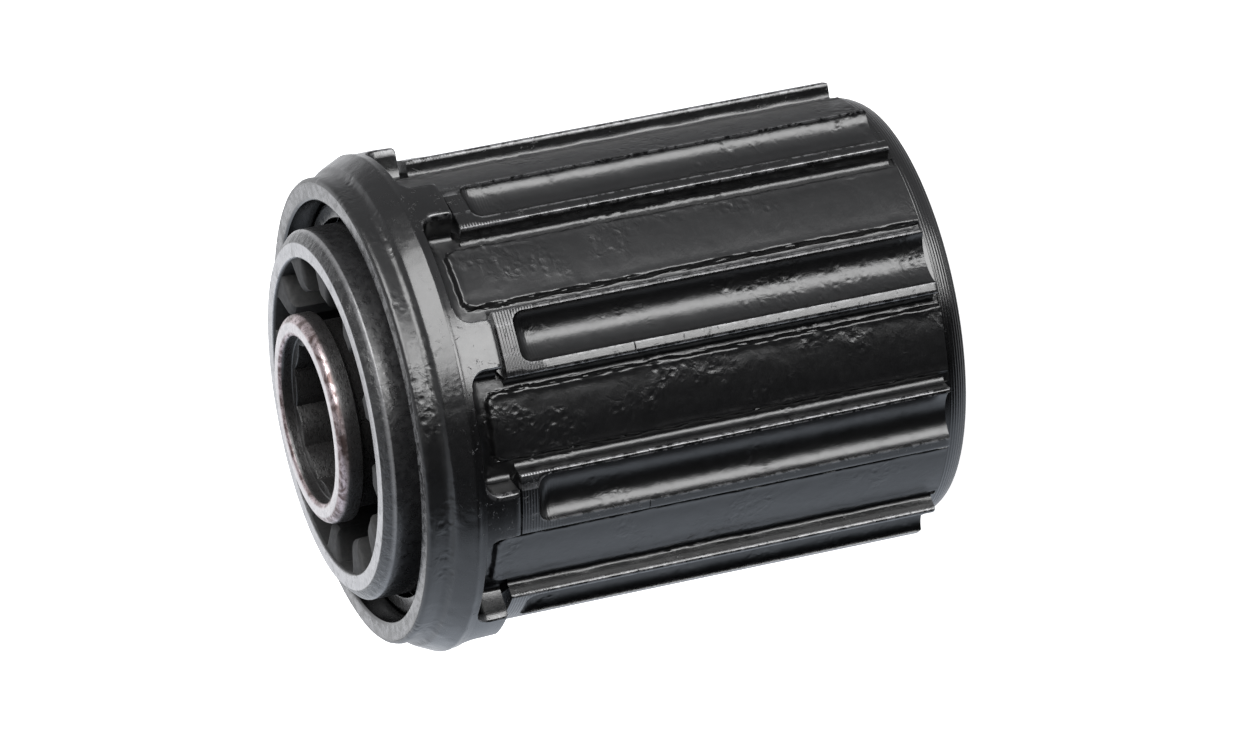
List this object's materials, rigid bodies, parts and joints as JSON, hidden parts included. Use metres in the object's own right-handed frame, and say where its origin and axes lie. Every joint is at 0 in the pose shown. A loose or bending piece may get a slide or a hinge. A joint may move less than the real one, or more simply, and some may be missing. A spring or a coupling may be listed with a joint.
{
  "type": "bicycle freehub body",
  "caption": "Black splined freehub body with flanged inboard end, sealed bearings, pawl ratchet inside and a hollow fixing bolt.",
  "frame": {"origin": "hub axis at the outboard (lockring side) end face, where the body stands on its end", "axes": "+Z along the hub axis towards the inboard end that meets the hub shell; a pawl pivot lies on +X"},
  "size_m": [0.0372, 0.0372, 0.0457],
  "materials": {
    "black_steel": "semi-gloss black over forged steel",
    "core_steel": "satin black over machined steel",
    "bearing_steel": "polished",
    "ground_steel": "ground",
    "shim_steel": "rolled",
    "spring_steel": "drawn wire",
    "bolt_steel": "dark bronzed",
    "black_rubber": "matte"
  },
  "bodies": {
    "core": {"inner_core": "core_steel", "bearing_cup": "ground_steel", "shim_1": "shim_steel", "shim_2": "shim_steel", "shim_3": "shim_steel", "pawl_spring": "spring_steel", "outboard_dust_cap": "black_steel", "outboard_seal": "black_rubber"},
    "driver": {"driver_shell": "black_steel", "inboard_seal": "black_rubber"},
    "inboard_ball_row": {"inboard_balls": "bearing_steel"},
    "outboard_ball_row": {"outboard_balls": "bearing_steel"},
    "first_pawl": {"pawl_1": "ground_steel"},
    "second_pawl": {"pawl_2": "ground_steel"},
    "washer": {"bolt_washer": "ground_steel"},
    "bolt": {"fixing_bolt": "bolt_steel"}
  },
  "joints": [
    {"name": "driver_spin", "type": "hinge", "parent": "core", "child": "driver", "pos_m": [0, 0, 0.02], "axis": [0, 0, 1], "continuous": true},
    {"name": "inboard_balls_roll", "type": "hinge", "parent": "core", "child": "inboard_ball_row", "pos_m": [0, 0, 0.03455], "axis": [0, 0, 1], "continuous": true},
    {"name": "outboard_balls_roll", "type": "hinge", "parent": "core", "child": "outboard_ball_row", "pos_m": [0, 0, 0.0096], "axis": [0, 0, 1], "continuous": true},
    {"name": "pawl_1_pivot", "type": "hinge", "parent": "core", "child": "first_pawl", "pos_m": [0.0114, 0, 0.02475], "axis": [0, 0, 1], "range_deg": [0, 12], "stiffness_Nm_per_rad": 0.004, "springref_deg": 20.05, "deforming": ["pawl_spring"]},
    {"name": "pawl_2_pivot", "type": "hinge", "parent": "core", "child": "second_pawl", "pos_m": [-0.0114, 0, 0.02475], "axis": [0, 0, 1], "range_deg": [0, 12], "stiffness_Nm_per_rad": 0.004, "springref_deg": 20.05, "deforming": ["pawl_spring"]},
    {"name": "bolt_withdraw", "type": "slide", "parent": "core", "child": "washer", "axis": [0, 0, -1], "range_m": [0, 0.022]},
    {"name": "bolt_turn", "type": "hinge", "parent": "washer", "child": "bolt", "pos_m": [0, 0, 0.022], "axis": [0, 0, 1], "continuous": true}
  ],
  "couplings": [
    {"joint": "inboard_balls_roll", "follows": "driver_spin", "ratio": 0.543},
    {"joint": "outboard_balls_roll", "follows": "driver_spin", "ratio": 0.543}
  ]
}
